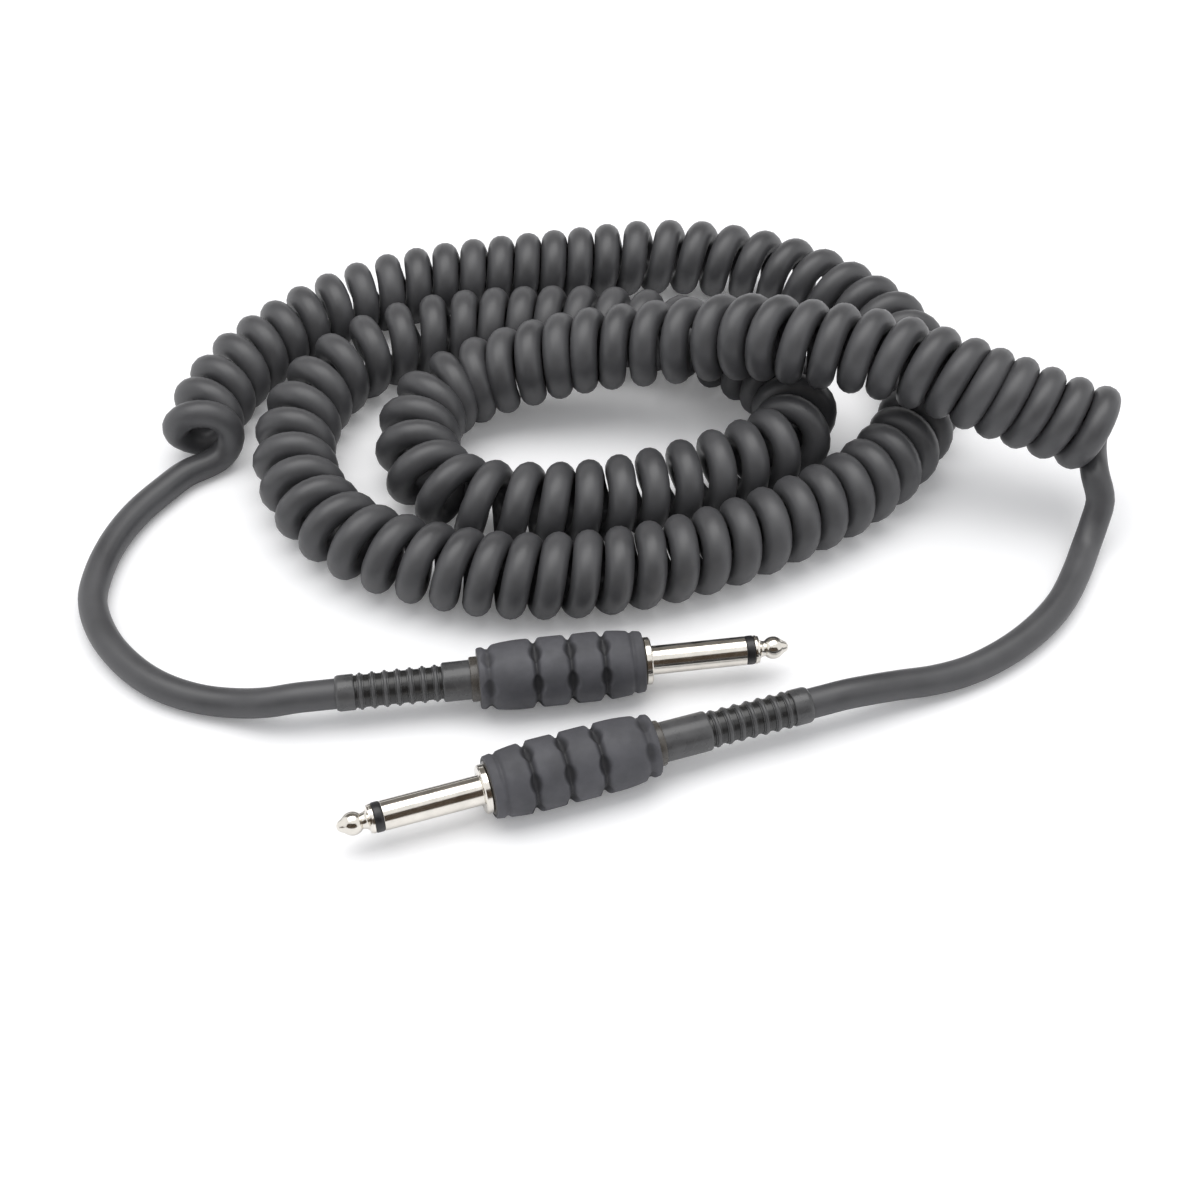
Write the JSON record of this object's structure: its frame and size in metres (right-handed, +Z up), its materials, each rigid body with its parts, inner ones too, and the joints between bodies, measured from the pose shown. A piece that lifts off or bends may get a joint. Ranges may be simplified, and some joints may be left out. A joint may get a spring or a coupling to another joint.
{
  "type": "coiled instrument cable",
  "caption": "Coiled audio instrument cable lying in a loose spiral, with a straight jack plug, a rubber grip handle and a ribbed strain boot at each end.",
  "frame": {"origin": "on the table under the middle of the two plugs' outline", "axes": "+X to the right along the plugs, +Y away from the viewer towards the coil, +Z up from the table"},
  "size_m": [0.2374, 0.1964, 0.043],
  "materials": {
    "nickel": "polished nickel plate",
    "black_ring": "glossy black",
    "nylon": "matt natural nylon",
    "tinned_sheet": "tinned sheet metal",
    "brown_board": "matt brown board",
    "shell_black": "satin moulding",
    "grip_rubber": "soft satin rubber",
    "liner_sheet": "thin translucent sheet",
    "boot_rubber": "satin rubber",
    "jacket": "satin extruded jacket",
    "copper_braid": "bare copper strands",
    "white_insulation": "smooth white",
    "copper_wire": "bare stranded copper",
    "solder": "dull solder"
  },
  "bodies": {
    "cable": {"tip_contact_a": "nickel", "tip_insulator_a": "black_ring", "rod_insulator_a": "nylon", "sleeve_a": "nickel", "ground_lug_a": "tinned_sheet", "lug_washer_a": "brown_board", "tip_lug_a": "tinned_sheet", "cord_jacket_a": "jacket", "cord_shield_a": "copper_braid", "cord_dielectric_a": "white_insulation", "cord_wire_a": "copper_wire", "tip_solder_a": "solder", "ground_solder_a": "solder", "tip_contact_b": "nickel", "tip_insulator_b": "black_ring", "rod_insulator_b": "nylon", "sleeve_b": "nickel", "ground_lug_b": "tinned_sheet", "lug_washer_b": "brown_board", "tip_lug_b": "tinned_sheet", "cord_jacket_b": "jacket", "cord_shield_b": "copper_braid", "cord_dielectric_b": "white_insulation", "cord_wire_b": "copper_wire", "tip_solder_b": "solder", "ground_solder_b": "solder", "cord_lead_a": "jacket", "cord_curls": "jacket", "cord_lead_b": "jacket"},
    "boot_a": {"strain_boot_a": "boot_rubber"},
    "handle_a": {"handle_shell_a": "shell_black", "handle_grip_a": "grip_rubber", "shell_liner_a": "liner_sheet"},
    "boot_b": {"strain_boot_b": "boot_rubber"},
    "handle_b": {"handle_shell_b": "shell_black", "handle_grip_b": "grip_rubber", "shell_liner_b": "liner_sheet"}
  },
  "joints": [
    {"name": "boot_a_slide", "type": "slide", "parent": "cable", "child": "boot_a", "axis": [-0.9903, -0.1392, 0], "range_m": [0, 0.006]},
    {"name": "handle_a_unscrew", "type": "hinge", "parent": "boot_a", "child": "handle_a", "pos_m": [0.0165, 0.0197, 0.0077], "axis": [-0.9903, -0.1392, 0], "range_deg": [0, 2160]},
    {"name": "boot_b_slide", "type": "slide", "parent": "cable", "child": "boot_b", "axis": [0.9483, 0.3173, 0], "range_m": [0, 0.006]},
    {"name": "handle_b_unscrew", "type": "hinge", "parent": "boot_b", "child": "handle_b", "pos_m": [-0.01904, -0.01585, 0.0077], "axis": [0.9483, 0.3173, 0], "range_deg": [0, 2160]}
  ],
  "couplings": [
    {"joint": "boot_a_slide", "follows": "handle_a_unscrew", "m_per_rad": 0.00015915},
    {"joint": "boot_b_slide", "follows": "handle_b_unscrew", "m_per_rad": 0.00015915}
  ]
}
